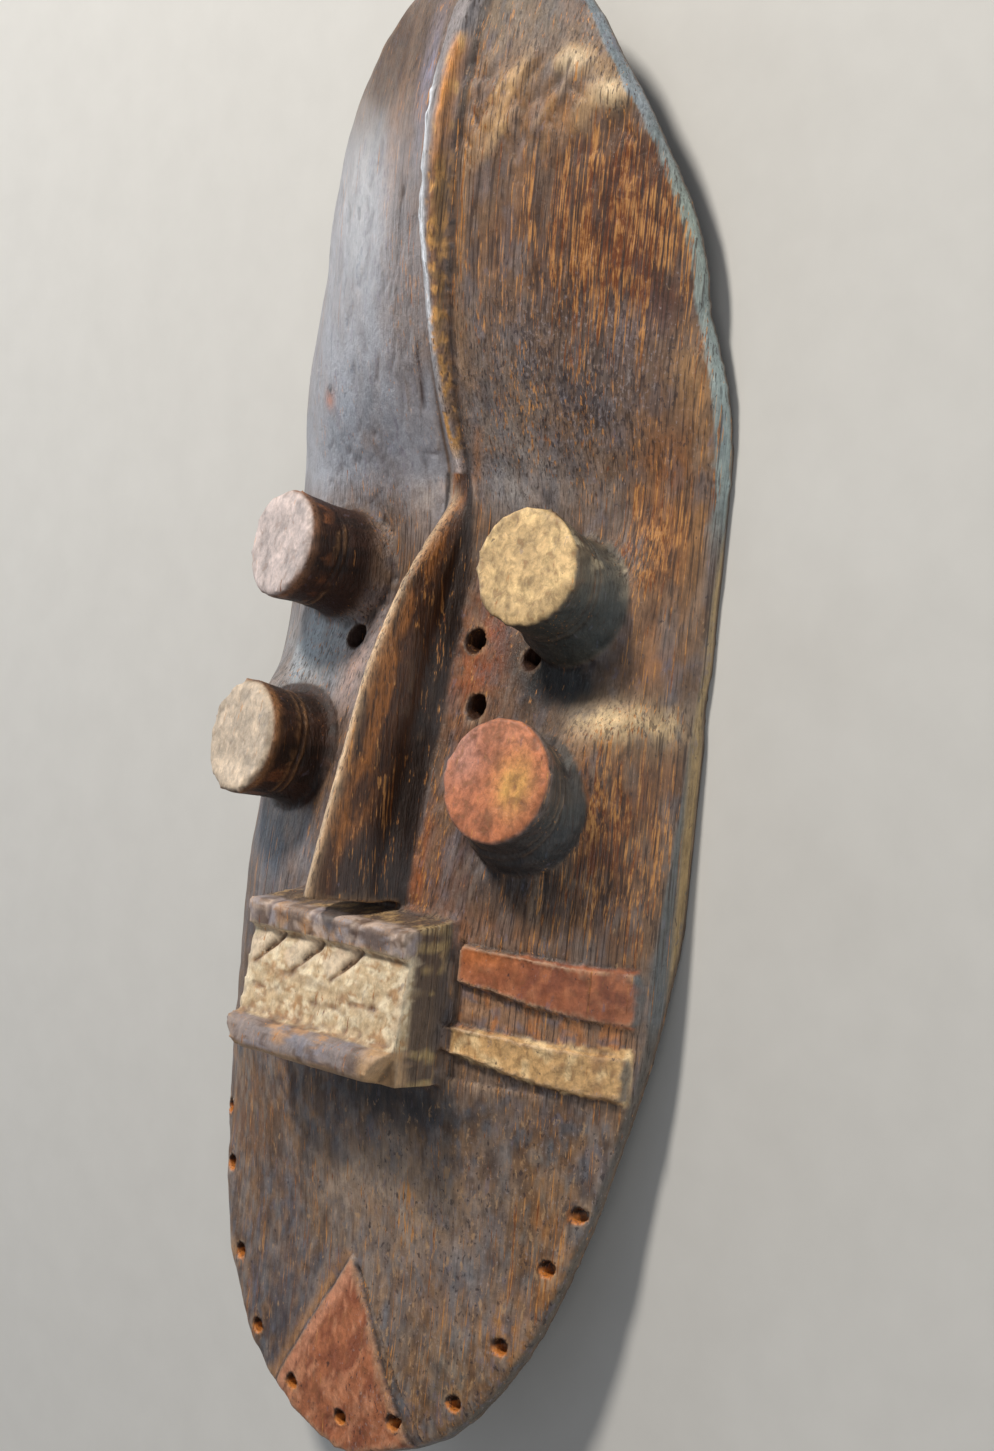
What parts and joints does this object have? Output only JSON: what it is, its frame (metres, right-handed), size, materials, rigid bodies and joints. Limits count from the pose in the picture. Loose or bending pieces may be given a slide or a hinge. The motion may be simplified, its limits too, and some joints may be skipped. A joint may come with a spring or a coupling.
{
  "type": "grebo mask",
  "caption": "Long oval carved wooden face mask with stalk eyes, a wedge nose, a boxed mouth, a forehead keel and a hollow back, lying face up on its back rim.",
  "frame": {"origin": "on the plane that the back rim rests on, under the middle of the mask's width and length", "axes": "+X towards the wearer's left, +Y from the chin to the crown, +Z out of the face"},
  "size_m": [0.263, 0.667, 0.099],
  "materials": {
    "painted_wood": "worn mineral paint over dark carved hardwood"
  },
  "bodies": {
    "root": {"mask": "painted_wood"}
  },
  "joints": []
}
